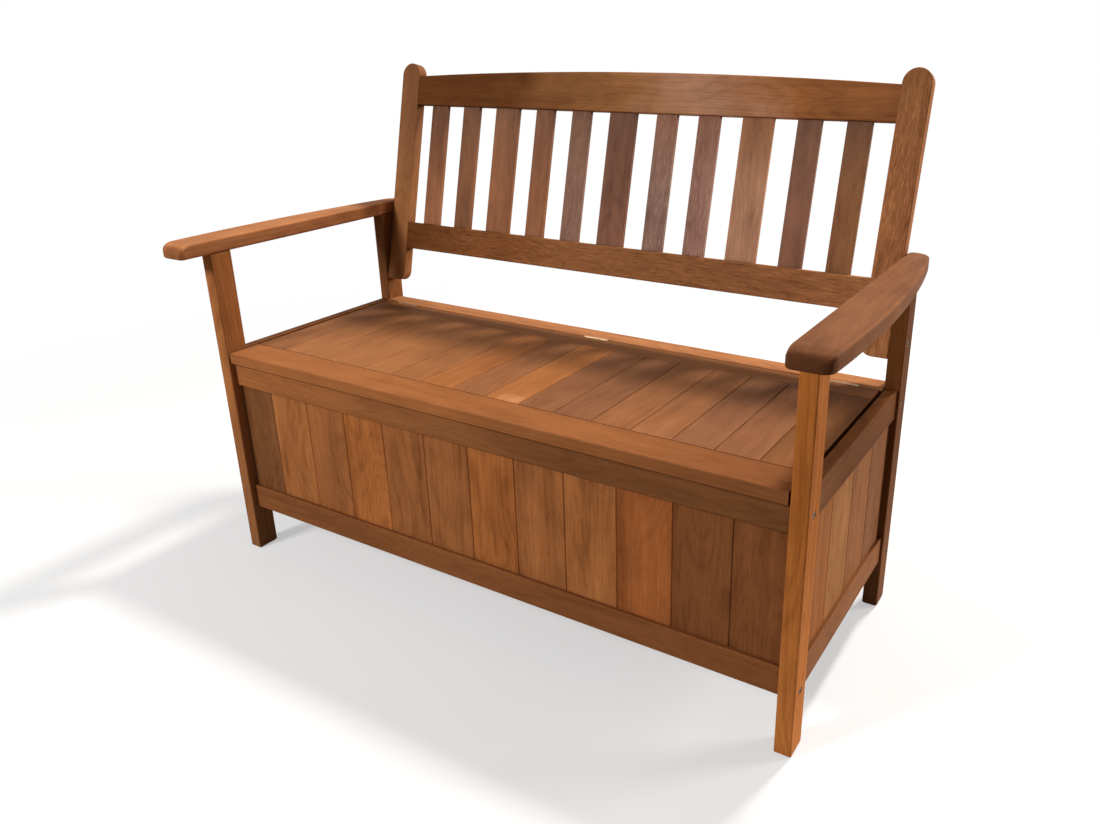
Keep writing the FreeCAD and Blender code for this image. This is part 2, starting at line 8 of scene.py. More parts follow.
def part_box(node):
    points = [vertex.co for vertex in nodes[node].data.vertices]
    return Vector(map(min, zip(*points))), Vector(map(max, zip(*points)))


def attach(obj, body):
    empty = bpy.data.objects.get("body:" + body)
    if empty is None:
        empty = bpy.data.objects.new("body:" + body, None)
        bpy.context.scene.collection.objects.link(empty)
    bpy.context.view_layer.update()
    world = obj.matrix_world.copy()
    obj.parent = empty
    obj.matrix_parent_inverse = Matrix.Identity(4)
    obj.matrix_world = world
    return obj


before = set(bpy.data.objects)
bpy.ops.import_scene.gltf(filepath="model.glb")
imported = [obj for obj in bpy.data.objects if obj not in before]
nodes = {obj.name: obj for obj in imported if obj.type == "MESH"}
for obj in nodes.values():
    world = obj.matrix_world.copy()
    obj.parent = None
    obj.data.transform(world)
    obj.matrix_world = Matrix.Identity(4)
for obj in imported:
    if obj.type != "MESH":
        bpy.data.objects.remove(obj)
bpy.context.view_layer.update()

# All lengths are in metres unless a line says otherwise.

# Camera, at the place from which the photograph was taken, with angles in degrees
CAMERA_PLACE = (0.8688, -1.2149, 0.9416)
CAMERA_TURN = 31.62            # to the left of straight ahead
CAMERA_TILT = -21.10           # below level
CAMERA_ROLL = -0.73
SENSOR_WIDTH = 36.0            # millimetres
CAMERA_LENS = 29.81            # millimetres
CAMERA_SHIFT = (-0.0515, -0.0252)

# Lights: name, place, size, power in watts and colour
LIGHT_AIM = (0.0, 0.0, 0.4)
WARM = (1.0, 0.97, 0.93)
WHITE = (1.0, 1.0, 1.0)
LIGHTS = (
    ("overhead", (0.99, 2.47, 4.61), (0.55, 0.55), 230.0, WARM),
    ("right", (4.3, 3.3, 1.6), (1.5, 1.5), 212.0, WARM),
    ("front", (-1.25, -2.70, 2.10), (0.7, 0.6), 75.0, WHITE),
)
WORLD_LIGHT = 0.15             # strength on the bench; what the camera sees behind it is white
WORLD_SEEN = 1.0

# Floor: its colour as the light meets it and as it is seen, and where it fades to white
FLOOR_HALF = 8.0
FLOOR_LIT = (0.32, 0.30, 0.28)
FLOOR_SEEN = (0.90, 0.89, 0.88)
FLOOR_FADE_FROM = 0.5
FLOOR_FADE_TO = 2.4
FLOOR_FADE_LEAST = 0.45

# Mean colours of the oiled hardwood, which differs from board to board; where some are used they also carry
# painted shade and sheen
PALETTE = {
    "russet": (0.345, 0.124, 0.040),
    "amber": (0.400, 0.146, 0.046),
    "chestnut": (0.345, 0.108, 0.031),
    "cocoa": (0.265, 0.094, 0.031),
    "sepia": (0.228, 0.080, 0.027),
    "umber": (0.195, 0.075, 0.027),
    "ochre": (0.368, 0.154, 0.054),
    "honey": (0.420, 0.135, 0.028),
    "fox": (0.620, 0.214, 0.056),
    "copper": (0.410, 0.139, 0.039),
    "wheat": (0.418, 0.164, 0.063),
    "bark": (0.140, 0.047, 0.013),
    "smoke": (0.168, 0.075, 0.040),
    "loam": (0.228, 0.092, 0.041),
    "tan": (0.315, 0.124, 0.046),
    "clay": (0.280, 0.110, 0.044),
    "dusk": (0.255, 0.102, 0.044),
    "rosy": (0.330, 0.130, 0.058),
    "plum": (0.250, 0.106, 0.060),
    "lilac": (0.250, 0.127, 0.086),
    "mauve": (0.368, 0.190, 0.138),
    "ash": (0.305, 0.172, 0.126),
    "fawn": (0.475, 0.232, 0.130),
    "straw": (0.560, 0.240, 0.105),
}

# The boards in their order, left to right or front to rear
FRONT_BOARDS = ("umber", "amber", "russet", "copper", "russet", "russet",
                "copper", "russet", "amber", "chestnut", "sepia", "sepia")
REAR_BOARDS = ("russet", "cocoa", "amber", "russet", "chestnut", "ochre",
               "russet", "cocoa", "russet", "amber", "chestnut", "russet")
SIDE_BOARDS = ("russet", "ochre", "tan", "dusk")
FLOOR_BOARDS = ("tan", "russet", "ochre", "tan", "cocoa", "russet",
                "tan", "amber", "tan", "russet", "cocoa", "tan")
# The last two lid slats on the right are darker: painted shade under the right armrest
LID_SLATS = ("clay", "tan", "tan", "tan", "tan", "tan", "russet", "clay",
             "amber", "dusk", "loam", "clay", "clay", "loam", "dusk", "umber")

# Tone of the lower part and of the darker top of each back slat, and where along the slat each is reached.
# The darker top is painted shade, and the pale lower tones of slats 5, 7, 8 and 9 hold a painted sheen as
# well as the wood's own colour
BACK_SLATS = (("rosy", "smoke"), ("loam", "smoke"), ("rosy", "smoke"), ("rosy", "smoke"),
              ("lilac", "smoke"), ("plum", "smoke"), ("ash", "plum"), ("mauve", "plum"),
              ("fawn", "tan"), ("plum", "smoke"), ("tan", "smoke"))
SLAT_TONE_PLACES = (0.70, 0.86)
# Slats whose many lighter flecks are partly the grain and partly painted glints of light
SLATS_WITH_PAINTED_GLINTS = (5, 7, 8)
FLECKS_AND_PAINTED_GLINTS = 1.5
PLAIN_FLECKS = 0.3

# The lid's slats are lighter at the front and darker towards the rear, painted shade from the back, and one
# of its slats has a pale place on top
LID_PAINTED_SHADE = ((-0.12, 1.08), (0.10, 0.65))
PALE_MIDDLE = (-0.163, 0.044)  # along and across the slat
PALE_REACH = (0.018, 0.023)
PALE_DEPTH = (0.004, 0.002)    # below the top face, from no paleness to all of it
PALE_REPEATS = (70.0, 45.0, 45.0)
PALE_RAGGED = 1.6
PALE_EDGE = (0.8, 2.0)

# Layers of the wood's figure: repeats per metre along, across and through the grain, the noise's detail and
# roughness, and the span of the noise followed by the span that it is mapped to
LAYERS = {
    "fibres": ((5.0, 330.0, 330.0), 4.0, 0.62, (0.20, 0.80, -0.15, 0.15)),
    "streaks": ((1.6, 60.0, 60.0), 3.0, 0.55, (0.25, 0.75, -0.15, 0.15)),
    "clouds": ((4.0, 10.0, 10.0), 3.0, 0.55, (0.30, 0.70, -0.25, 0.25)),
    "blotches": ((15.0, 42.0, 42.0), 3.0, 0.6, (0.30, 0.70, -0.13, 0.13)),
    "fine_pores": ((46.0, 1300.0, 1300.0), 2.0, 0.5, (0.54, 0.70, 0.0, 0.7)),
    "long_pores": ((24.0, 760.0, 760.0), 3.0, 0.5, (0.54, 0.72, 0.0, 1.0)),
    "wide_pores": ((58.0, 430.0, 430.0), 2.0, 0.5, (0.56, 0.72, 0.0, 0.8)),
    "flecks": ((60.0, 560.0, 560.0), 2.0, 0.5, (0.53, 0.68, 0.0, 0.24)),
}
SEED_SHIFT = (1.37, 0.31, 0.53)
BOARD_SEED_STEP = 0.731
WANDER_REPEATS = (1.6, 5.0, 5.0)
WANDER_REACH = (0.0, 0.034, 0.034)
HEART_STRETCH = (0.0, 1.0, 1.6)
ZONES_PER_METRE = 150.0
ZONE_SPAN = (0.25, 0.75, -0.11, 0.11)
ARCH_REPEATS = (2.6, 13.0, 13.0)
ARCH_TURNS = 100.0
ARCH_SPAN = (0.1, 1.0, 0.03, -0.11)
DRIFT_REPEATS = (7.0, 7.0, 7.0)
DRIFT_RAGGED = 0.4             # share of the drift's length

# Half of what the darkest, the mean and the lightest wood are multiplied by
HALF_SHADES = ((0.0, (0.20, 0.17, 0.15)), (0.5, (0.5, 0.5, 0.5)), (1.0, (0.76, 0.79, 0.78)))
PORE_SHADE = (0.50, 0.44, 0.40, 1.0)
END_SHADE = (0.37, 0.29, 0.23, 1.0)
# Painted shade in inner corners and between parts: what the colour is multiplied by there
PAINTED_CORNER_SHADE = (0.34, 0.28, 0.25, 1.0)
# Along edges the wood is rougher from wear, and lighter from wear and a painted highlight
WEAR_AND_HIGHLIGHT_GAIN = (0.30, 0.28, 0.28)
WEAR_AND_HIGHLIGHT_SPAN = (0.35, 0.65, 0.2, 1.0)
WEAR_ROUGHNESS = 0.06
ROUGHNESS_SPAN = (0.20, 0.80, 0.50, 0.66)
PORE_DEPTH = 0.7               # share of a fibre's height

# Edges, corners and end grain of a piece of wood: rounded edges get a painted highlight with their wear, and
# inner corners painted shade
EDGE_RADIUS = 0.0025
EDGE_SPAN = (0.97, 0.80, 0.0, 1.0)
CORNER_REACH = 0.055
CORNER_SPAN = (0.35, 0.80)
END_SOFTNESS = 0.2
# Painted highlight along rounded edges, by how far a face leans from the top
RIM_LOW = (0.35, 0.75)
RIM_HIGH = (0.995, 0.93)
WOOD_BUMP = {"Strength": 0.35, "Distance": 0.0004}
WOOD_SPECULAR = 0.02

# Plated steel
PLATING_REPEATS = (260.0, 260.0, 260.0)
DRAWN_REPEATS = (150.0, 4200.0, 4200.0)
PLATING_DARK = 0.62            # share of the colour
PLATING_STOPS = (0.30, 0.62)
PLATING_SPAN = (0.3, 0.7)
PLATING_ROUGHER = 0.12
STEEL_BUMP = {"Strength": 0.25, "Distance": 0.0001}

# Sizes of the construction that the patterns and the screws follow
BACK_LEAN = math.radians(13.8)
FRONT_BOARD_PITCH = 0.091
SIDES = ("left", "middle", "right")
LEAF_THICK = 0.0012
LEAF_GAP = 0.00035             # between a leaf and the knuckle of the other
LEAF_SCREW_SPREAD = 0.0125     # from the middle of a hinge
BATTEN_SCREW_INSET = 0.012
BATTEN_SCREW_SPREAD = 0.011

# Screw heads: radius and height from the seat to the flat top, and the cross recess
SUNK_HEAD = ((0.00162, -0.0011), (0.00285, -0.00008), (0.00270, 0.0))
PAN_HEAD = ((0.0038, 0.0), (0.0038, 0.0006), (0.0034, 0.0014), (0.0026, 0.0019))
HEAD_STEPS = 20
CROSS_REACH = 0.0017
CROSS_WIDTH = 0.0007
CROSS_DEPTH = 0.0008
CROSS_TAPER = 0.8

# Angles in radians that keep the screws from all standing alike
LEAF_TURN_FIRST = 0.6
LEAF_TURN_STEP = 1.1
LEAF_TURN_OTHER = 0.7
BATTEN_TURNS_PER_METRE = (9.0, 5.0)


def add(tree, kind, inputs=None, **properties):
    """Adds a shader node; inputs holds values, or sockets to link, by socket name or number."""
    made = tree.nodes.new("ShaderNode" + kind)
    for name, value in properties.items():
        setattr(made, name, value)
    for name, value in (inputs or {}).items():
        if isinstance(value, bpy.types.NodeSocket):
            tree.links.new(value, made.inputs[name])
        else:
            made.inputs[name].default_value = value
    return made


def math_node(tree, operation, *values):
    return add(tree, "Math", dict(enumerate(values)), operation=operation).outputs[0]


def vector_node(tree, operation, *values):
    return add(tree, "VectorMath", dict(enumerate(values)), operation=operation).outputs["Vector"]


def vector_value(tree, operation, *values):
    return add(tree, "VectorMath", dict(enumerate(values)), operation=operation).outputs["Value"]


def noise(tree, place, repeats, detail, roughness=0.5):
    """Noise of the given repeats per metre along, across and through the wood."""
    scaled = vector_node(tree, "MULTIPLY", place, repeats)
    return add(tree, "TexNoise", {"Vector": scaled, "Scale": 1.0, "Detail": detail, "Roughness": roughness})


def mapped(tree, value, low, high, to_low, to_high):
    return add(tree, "MapRange", {"Value": value, "From Min": low, "From Max": high, "To Min": to_low,
                                  "To Max": to_high}).outputs["Result"]


def multiplied(tree, colour, other, amount):
    return add(tree, "Mix", {"Factor": amount, "A": colour, "B": other}, data_type="RGBA",
               blend_type="MULTIPLY").outputs["Result"]


def colour_ramp(tree, value, stops, interpolation="LINEAR"):
    ramp = add(tree, "ValToRGB", {"Fac": value})
    ramp.color_ramp.interpolation = interpolation
    elements = ramp.color_ramp.elements
    while len(elements) < len(stops):
        elements.new(1.0)
    for element, (position, colour) in zip(elements, stops):
        element.position = position
        element.color = (*colour, 1.0)
    return ramp.outputs["Color"]


def layer(tree, place, name):
    """A layer of the wood's figure: its noise, and the noise mapped to what the layer adds."""
    repeats, detail, roughness, span = LAYERS[name]
    raw = noise(tree, place, repeats, detail, roughness).outputs["Fac"]
    return raw, mapped(tree, raw, *span)


def make_wood_figure():
    """Node group: the figure of oiled hardwood, from a place measured along, across and through the grain."""
    group = bpy.data.node_groups.new("wood_figure", "ShaderNodeTree")
    for name, kind in (("Place", "Vector"), ("Seed", "Float"), ("Mean", "Color"), ("End", "Float"),
                       ("Wear And Highlight", "Float"), ("Figure", "Float"), ("Pores", "Float"), ("Flecks", "Float"),
                       ("Clouds", "Float"), ("Polish", "Float"), ("Corner", "Float")):
        group.interface.new_socket(name, in_out="INPUT", socket_type="NodeSocket" + kind)
    for name, kind in (("Color", "Color"), ("Roughness", "Float"), ("Height", "Float")):
        group.interface.new_socket(name, in_out="OUTPUT", socket_type="NodeSocket" + kind)
    source = group.nodes.new("NodeGroupInput").outputs
    result = group.nodes.new("NodeGroupOutput").inputs

    seed_shift = vector_node(group, "MULTIPLY", source["Seed"], SEED_SHIFT)
    place = vector_node(group, "ADD", source["Place"], seed_shift)

    # The grain wanders slowly along the board
    wander = vector_node(group, "SUBTRACT", noise(group, place, WANDER_REPEATS, 1.0).outputs["Color"],
                         (0.5, 0.5, 0.5))
    swayed = vector_node(group, "ADD", place, vector_node(group, "MULTIPLY", wander, WANDER_REACH))

    # Growth zones round a heart that lies beside the board
    radius = vector_value(group, "LENGTH", vector_node(group, "MULTIPLY", swayed, HEART_STRETCH))
    zones = add(group, "TexNoise", {"W": math_node(group, "MULTIPLY", radius, ZONES_PER_METRE), "Scale": 1.0,
                                    "Detail": 2.0, "Roughness": 0.6}, noise_dimensions="1D").outputs["Fac"]

    # Arches where a growth layer comes to the surface at a slant
    slant = noise(group, swayed, ARCH_REPEATS, 1.0).outputs["Fac"]
    arches = math_node(group, "SINE", math_node(group, "MULTIPLY", slant, ARCH_TURNS))

    fibres, fibre_tone = layer(group, swayed, "fibres")
    streaks, streak_tone = layer(group, swayed, "streaks")
    cloud_tone = layer(group, place, "clouds")[1]
    blotch_tone = layer(group, swayed, "blotches")[1]
    pores = math_node(group, "MAXIMUM", layer(group, swayed, "fine_pores")[1],
                      layer(group, swayed, "long_pores")[1])
    pores = math_node(group, "MAXIMUM", pores, layer(group, swayed, "wide_pores")[1])
    pores = math_node(group, "MULTIPLY", pores, source["Pores"])
    flecks = math_node(group, "MULTIPLY", layer(group, place, "flecks")[1], source["Flecks"])

    # The tone, from dark at 0 to light at 1, and the colour that it gives
    lines = math_node(group, "ADD", fibre_tone, streak_tone)
    lines = math_node(group, "ADD", lines, mapped(group, zones, *ZONE_SPAN))
    lines = math_node(group, "ADD", lines, mapped(group, arches, *ARCH_SPAN))
    cloudy = math_node(group, "MULTIPLY", math_node(group, "ADD", cloud_tone, blotch_tone), source["Clouds"])
    tone = math_node(group, "MULTIPLY_ADD", lines, source["Figure"], 0.5)
    for part in (cloudy, flecks):
        tone = math_node(group, "ADD", tone, part)
    half_shade = colour_ramp(group, tone, HALF_SHADES)
    shade = vector_node(group, "ADD", half_shade, half_shade)
    colour = vector_node(group, "MULTIPLY", source["Mean"], shade)
    # Pores and end grain darken the wood itself; the corner darkening is painted shade
    for dark, amount in ((PORE_SHADE, pores), (END_SHADE, source["End"]), (PAINTED_CORNER_SHADE, source["Corner"])):
        colour = multiplied(group, colour, dark, amount)

    # Edges are rubbed rougher, and lighter by wear and by a painted highlight
    wear_and_highlight = math_node(group, "MULTIPLY", source["Wear And Highlight"], mapped(group, streaks, *WEAR_AND_HIGHLIGHT_SPAN))
    gain = vector_node(group, "MULTIPLY", colour, vector_node(group, "MULTIPLY", wear_and_highlight, WEAR_AND_HIGHLIGHT_GAIN))
    colour = vector_node(group, "ADD", colour, gain)
    roughness = math_node(group, "SUBTRACT", mapped(group, fibres, *ROUGHNESS_SPAN), source["Polish"])
    roughness = math_node(group, "ADD", roughness, math_node(group, "MULTIPLY", wear_and_highlight, WEAR_ROUGHNESS))
    height = math_node(group, "SUBTRACT", fibres, math_node(group, "MULTIPLY", pores, PORE_DEPTH))
    group.links.new(colour, result["Color"])
    group.links.new(roughness, result["Roughness"])
    group.links.new(height, result["Height"])
    return group


WOOD_FIGURE = make_wood_figure()
GRAIN_SWAP = {"X": ("X", "Y", "Z"), "Y": ("Y", "X", "Z"), "Z": ("Z", "X", "Y")}


def new_material(name):
    material = bpy.data.materials.new(name)
    material.use_nodes = True
    shader = material.node_tree.nodes["Principled BSDF"]
    return material, material.node_tree, shader


def drifting_tone(tree, place, along, drift):
    """Tone that changes along the grain, with a ragged front."""
    low, length = drift[0][0], drift[-1][0] - drift[0][0]
    spread = DRIFT_RAGGED * length
    uneven = noise(tree, place, DRIFT_REPEATS, 3.0).outputs["Fac"]
    ragged = math_node(tree, "MULTIPLY_ADD", uneven, spread, along)
    amount = mapped(tree, ragged, low + spread / 2, low + spread / 2 + length, 0.0, 1.0)
    return colour_ramp(tree, amount, [((at - low) / length, PALETTE[tone]) for at, tone in drift])


def board_tone(tree, apart, row, seed):
    """Seed and tone of each board of a row."""
    axis, start, pitch, tones = row
    count = len(tones)
    offset = math_node(tree, "SUBTRACT", apart[axis], start)
    index = math_node(tree, "FLOOR", math_node(tree, "DIVIDE", offset, pitch))
    board_seed = math_node(tree, "ADD", math_node(tree, "MULTIPLY", index, BOARD_SEED_STEP), float(seed))
    share = math_node(tree, "DIVIDE", math_node(tree, "ADD", index, 0.5), float(count))
    stops = [(k / count, PALETTE[tone]) for k, tone in enumerate(tones)]
    return board_seed, colour_ramp(tree, share, stops, "CONSTANT")


def pale_tone(tree, mean, place, along, across, through, top):
    """The tone with a ragged pale place on a top face at a given height."""
    off_along = math_node(tree, "DIVIDE", math_node(tree, "SUBTRACT", along, PALE_MIDDLE[0]), PALE_REACH[0])
    off_across = math_node(tree, "DIVIDE", math_node(tree, "SUBTRACT", across, PALE_MIDDLE[1]), PALE_REACH[1])
    reach = math_node(tree, "ADD", math_node(tree, "POWER", off_along, 2.0),
                      math_node(tree, "POWER", off_across, 4.0))
    ragged = math_node(tree, "MULTIPLY", noise(tree, place, PALE_REPEATS, 3.0).outputs["Fac"], PALE_RAGGED)
    reach = math_node(tree, "ADD", reach, ragged)
    amount = math_node(tree, "MULTIPLY", mapped(tree, reach, *PALE_EDGE, 1.0, 0.0),
                       mapped(tree, through, top - PALE_DEPTH[0], top - PALE_DEPTH[1], 0.0, 1.0))
    return add(tree, "Mix", {"Factor": amount, "A": mean, "B": (*PALETTE["straw"], 1.0)},
               data_type="RGBA").outputs["Result"]


def wood(name, grain, seed, tone="russet", lean=0.0, row=None, drift=None, fade=None, pale_top=None,
         figure=0.8, pores=0.4, flecks=0.0, clouds=0.4, polish=0.0, end=0.6, end_from=0.75, rim=0.0,
         corner=0.7):
    """Oiled wood with its grain along an axis, after a lean about X.

    row: the axis, start and pitch of a row of boards, and the tone of each.
    drift: places along the grain, and the tone that the wood changes to at each.
    fade: two places along the grain, and what the tone is multiplied by at each, which paints shade along the
    grain.
    pale_top: the height of the top face that has the pale place.
    figure, pores, flecks, clouds, polish: the strength of each.
    end, end_from: the strength of dark end grain, and how squarely a face cuts the grain before it shows.
    rim, corner: the strength of the painted highlight, with wear, along rounded edges, and of painted shade
    in inner corners.
    """
    material, tree, shader = new_material(name)
    place = add(tree, "TexCoord").outputs["Object"]
    face = add(tree, "NewGeometry").outputs["Normal"]
    # Edges: where the rounded normal parts from the face, a mask for wear and for a painted highlight
    soft_face = add(tree, "Bevel", {"Radius": EDGE_RADIUS}, samples=4).outputs["Normal"]
    worn_and_lit_edge = mapped(tree, vector_value(tree, "DOT_PRODUCT", face, soft_face), *EDGE_SPAN)
    normal = add(tree, "VectorTransform", {"Vector": face}, vector_type="NORMAL", convert_from="WORLD",
                 convert_to="OBJECT").outputs[0]
    if lean:
        place = add(tree, "VectorRotate", {"Vector": place, "Axis": (1, 0, 0), "Angle": lean}).outputs[0]
        normal = add(tree, "VectorRotate", {"Vector": normal, "Axis": (1, 0, 0), "Angle": lean}).outputs[0]
    # Painted shade: the colour darkens wherever other surfaces are near
    openness = add(tree, "AmbientOcclusion", {"Distance": CORNER_REACH}, samples=6).outputs["AO"]
    apart = add(tree, "SeparateXYZ", {"Vector": place}).outputs
    along, across, through = (apart[axis] for axis in GRAIN_SWAP[grain])
    facing = add(tree, "SeparateXYZ", {"Vector": vector_node(tree, "ABSOLUTE", normal)}).outputs
    # Painted highlight: a lighter band where a top face rolls over its rounded edge
    if rim:
        level = facing[GRAIN_SWAP[grain][2]]
        rim_highlight_band = math_node(tree, "MINIMUM", mapped(tree, level, *RIM_LOW, 0.0, rim),
                         mapped(tree, level, *RIM_HIGH, 0.0, rim))
        worn_and_lit_edge = math_node(tree, "MAXIMUM", worn_and_lit_edge, math_node(tree, "SUBTRACT", rim_highlight_band, facing[grain]))

    board_seed, mean = float(seed), (*PALETTE[tone], 1.0)
    if drift:
        mean = drifting_tone(tree, place, along, drift)
    if row:
        board_seed, mean = board_tone(tree, apart, row, seed)
    # Painted shade: the tone is multiplied down along the grain
    if fade:
        (low, low_share), (high, high_share) = fade
        mean = vector_node(tree, "MULTIPLY", mean, mapped(tree, along, low, high, low_share, high_share))
    if pale_top:
        mean = pale_tone(tree, mean, place, along, across, through, pale_top)

    figured = add(tree, "Group", node_tree=WOOD_FIGURE)
    inputs = {"Place": add(tree, "CombineXYZ", {"X": along, "Y": across, "Z": through}).outputs[0],
              "Seed": board_seed, "Mean": mean, "Wear And Highlight": worn_and_lit_edge, "Figure": figure, "Pores": pores,
              "Flecks": flecks, "Clouds": clouds, "Polish": polish,
              "End": mapped(tree, facing[grain], end_from, end_from + END_SOFTNESS, 0.0, end),
              "Corner": mapped(tree, openness, *CORNER_SPAN, corner, 0.0)}
    for key, value in inputs.items():
        if isinstance(value, bpy.types.NodeSocket):
            tree.links.new(value, figured.inputs[key])
        else:
            figured.inputs[key].default_value = value
    bump = add(tree, "Bump", {**WOOD_BUMP, "Height": figured.outputs["Height"]})
    tree.links.new(figured.outputs["Color"], shader.inputs["Base Color"])
    tree.links.new(figured.outputs["Roughness"], shader.inputs["Roughness"])
    tree.links.new(bump.outputs["Normal"], shader.inputs["Normal"])
    shader.inputs["Specular IOR Level"].default_value = WOOD_SPECULAR + polish
    return material


def steel(name, colour, roughness):
    """Zinc-plated steel with fine drawn lines and cloudy plating."""
    material, tree, shader = new_material(name)
    place = add(tree, "TexCoord").outputs["Object"]
    clouds = noise(tree, place, PLATING_REPEATS, 3.0).outputs["Fac"]
    lines = noise(tree, place, DRAWN_REPEATS, 2.0).outputs["Fac"]
    dark = tuple(PLATING_DARK * part for part in colour)
    tone = colour_ramp(tree, clouds, list(zip(PLATING_STOPS, (dark, colour))))
    bump = add(tree, "Bump", {**STEEL_BUMP, "Height": lines})
    tree.links.new(tone, shader.inputs["Base Color"])
    tree.links.new(mapped(tree, clouds, *PLATING_SPAN, roughness + PLATING_ROUGHER, roughness),
                   shader.inputs["Roughness"])
    tree.links.new(bump.outputs["Normal"], shader.inputs["Normal"])
    shader.inputs["Metallic"].default_value = 1.0
    return material


def dress(material, *names):
    for name in names:
        slots = nodes[name].data.materials
        slots.clear()
        slots.append(material)


def dress_frame():
    """Legs, armrests and rails, each cut from its own piece of wood."""
    dress(wood("leg_front_right_wood", "Z", 3, drift=((0.0, "fox"), (0.35, "honey")), corner=0.3),
          "front_right_leg")
    dress(wood("leg_front_left_wood", "Z", 5, drift=((0.10, "tan"), (0.35, "amber")), corner=0.3),
          "front_left_leg")
    dress(wood("leg_rear_right_wood", "Z", 7, drift=((0.0, "umber"), (0.30, "bark")), corner=0.2),
          "rear_right_leg")
    # The rear left leg is darker above the lid: painted shade under the armrest and stile
    dress(wood("leg_rear_left_wood", "Z", 9, drift=((0.40, "cocoa"), (0.50, "umber")), corner=0.4),
          "rear_left_leg")
    # The armrests also get a painted highlight along their rounded edges
    arm_finish = {"figure": 0.35, "pores": 0.15, "clouds": 0.8, "end_from": 0.45, "rim": 1.0}
    dress(wood("armrest_right_wood", "Y", 11, "loam", end=0.75, **arm_finish), "right_armrest")
    # The left armrest darkens towards its rear end: the stile's painted shadow
    dress(wood("armrest_left_wood", "Y", 13, drift=((0.12, "wheat"), (0.28, "clay")), end=0.6, **arm_finish),
          "left_armrest")
    dress(wood("front_top_rail_wood", "X", 15, drift=((-0.45, "russet"), (0.25, "umber")), figure=0.5,
               corner=0.25), "front_top_rail")
    dress(wood("front_bottom_rail_wood", "X", 17, "cocoa", figure=0.5), "front_bottom_rail")
    dress(wood("rear_top_rail_wood", "X", 19, "russet"), "rear_top_rail")
    dress(wood("rear_bottom_rail_wood", "X", 21, "russet"), "rear_bottom_rail")
    dress(wood("side_top_rail_wood", "Y", 23, drift=((-0.20, "umber"), (-0.08, "bark")), corner=0.25),
          "right_side_top_rail", "left_side_top_rail")
    dress(wood("side_bottom_rail_wood", "Y", 25, "clay"), "right_side_bottom_rail", "left_side_bottom_rail")
    dress(wood("hinge_rail_wood", "X", 27, drift=((-0.7, "tan"), (-0.2, "wheat")), corner=0.25), "hinge_rail")
    dress(wood("floor_cleat_wood", "X", 29, "tan"), "floor_cleat_front", "floor_cleat_rear")
    dress(wood("dowel_wood", "Z", 31, "fawn"), "dowels")


def box_row(name, axis, tones):
    """A row of equal boards that fill the box of a node."""
    low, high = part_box(name)
    start = getattr(low, axis.lower())
    return axis, start, (getattr(high, axis.lower()) - start) / len(tones), tones


def dress_boards():
    start = -FRONT_BOARD_PITCH * len(FRONT_BOARDS) / 2
    front_row = ("X", start, FRONT_BOARD_PITCH, FRONT_BOARDS)
    rear_row = ("X", start, FRONT_BOARD_PITCH, REAR_BOARDS)
    side_row = box_row("right_side_boards", "Y", SIDE_BOARDS)
    floor_row = box_row("floor_boards", "X", FLOOR_BOARDS)
    panel_finish = {"figure": 0.7, "pores": 0.45, "flecks": 0.3, "clouds": 0.75, "corner": 0.3}
    dress(wood("front_board_wood", "Z", 41, row=front_row, **panel_finish), "front_boards")
    dress(wood("rear_board_wood", "Z", 43, row=rear_row, **panel_finish), "rear_boards")
    dress(wood("side_board_wood", "Z", 45, row=side_row, corner=0.0), "right_side_boards", "left_side_boards")
    dress(wood("floor_board_wood", "Y", 47, row=floor_row, corner=0.35), "floor_boards")


def dress_lid():
    slat_row = box_row("lid_slats", "X", LID_SLATS)
    slat_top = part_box("lid_slats")[1].z
    dress(wood("lid_slat_wood", "Y", 51, row=slat_row, fade=LID_PAINTED_SHADE, pale_top=slat_top, figure=0.35,
               pores=0.1, clouds=0.5, corner=0.2), "lid_slats")
    rail_finish = {"figure": 0.4, "pores": 0.1, "corner": 0.25}
    # The lid's front rail darkens towards its right end: painted shade
    dress(wood("lid_front_rail_wood", "X", 53, drift=((0.0, "russet"), (0.45, "sepia")), **rail_finish),
          "lid_front_rail")
    # The rear rail's dark tone is painted shade from the back
    dress(wood("lid_rear_rail_wood", "X", 55, "umber", **rail_finish), "lid_rear_rail")
    dress(wood("lid_batten_wood", "Y", 57, "russet"), *(f"lid_batten_{side}" for side in SIDES))


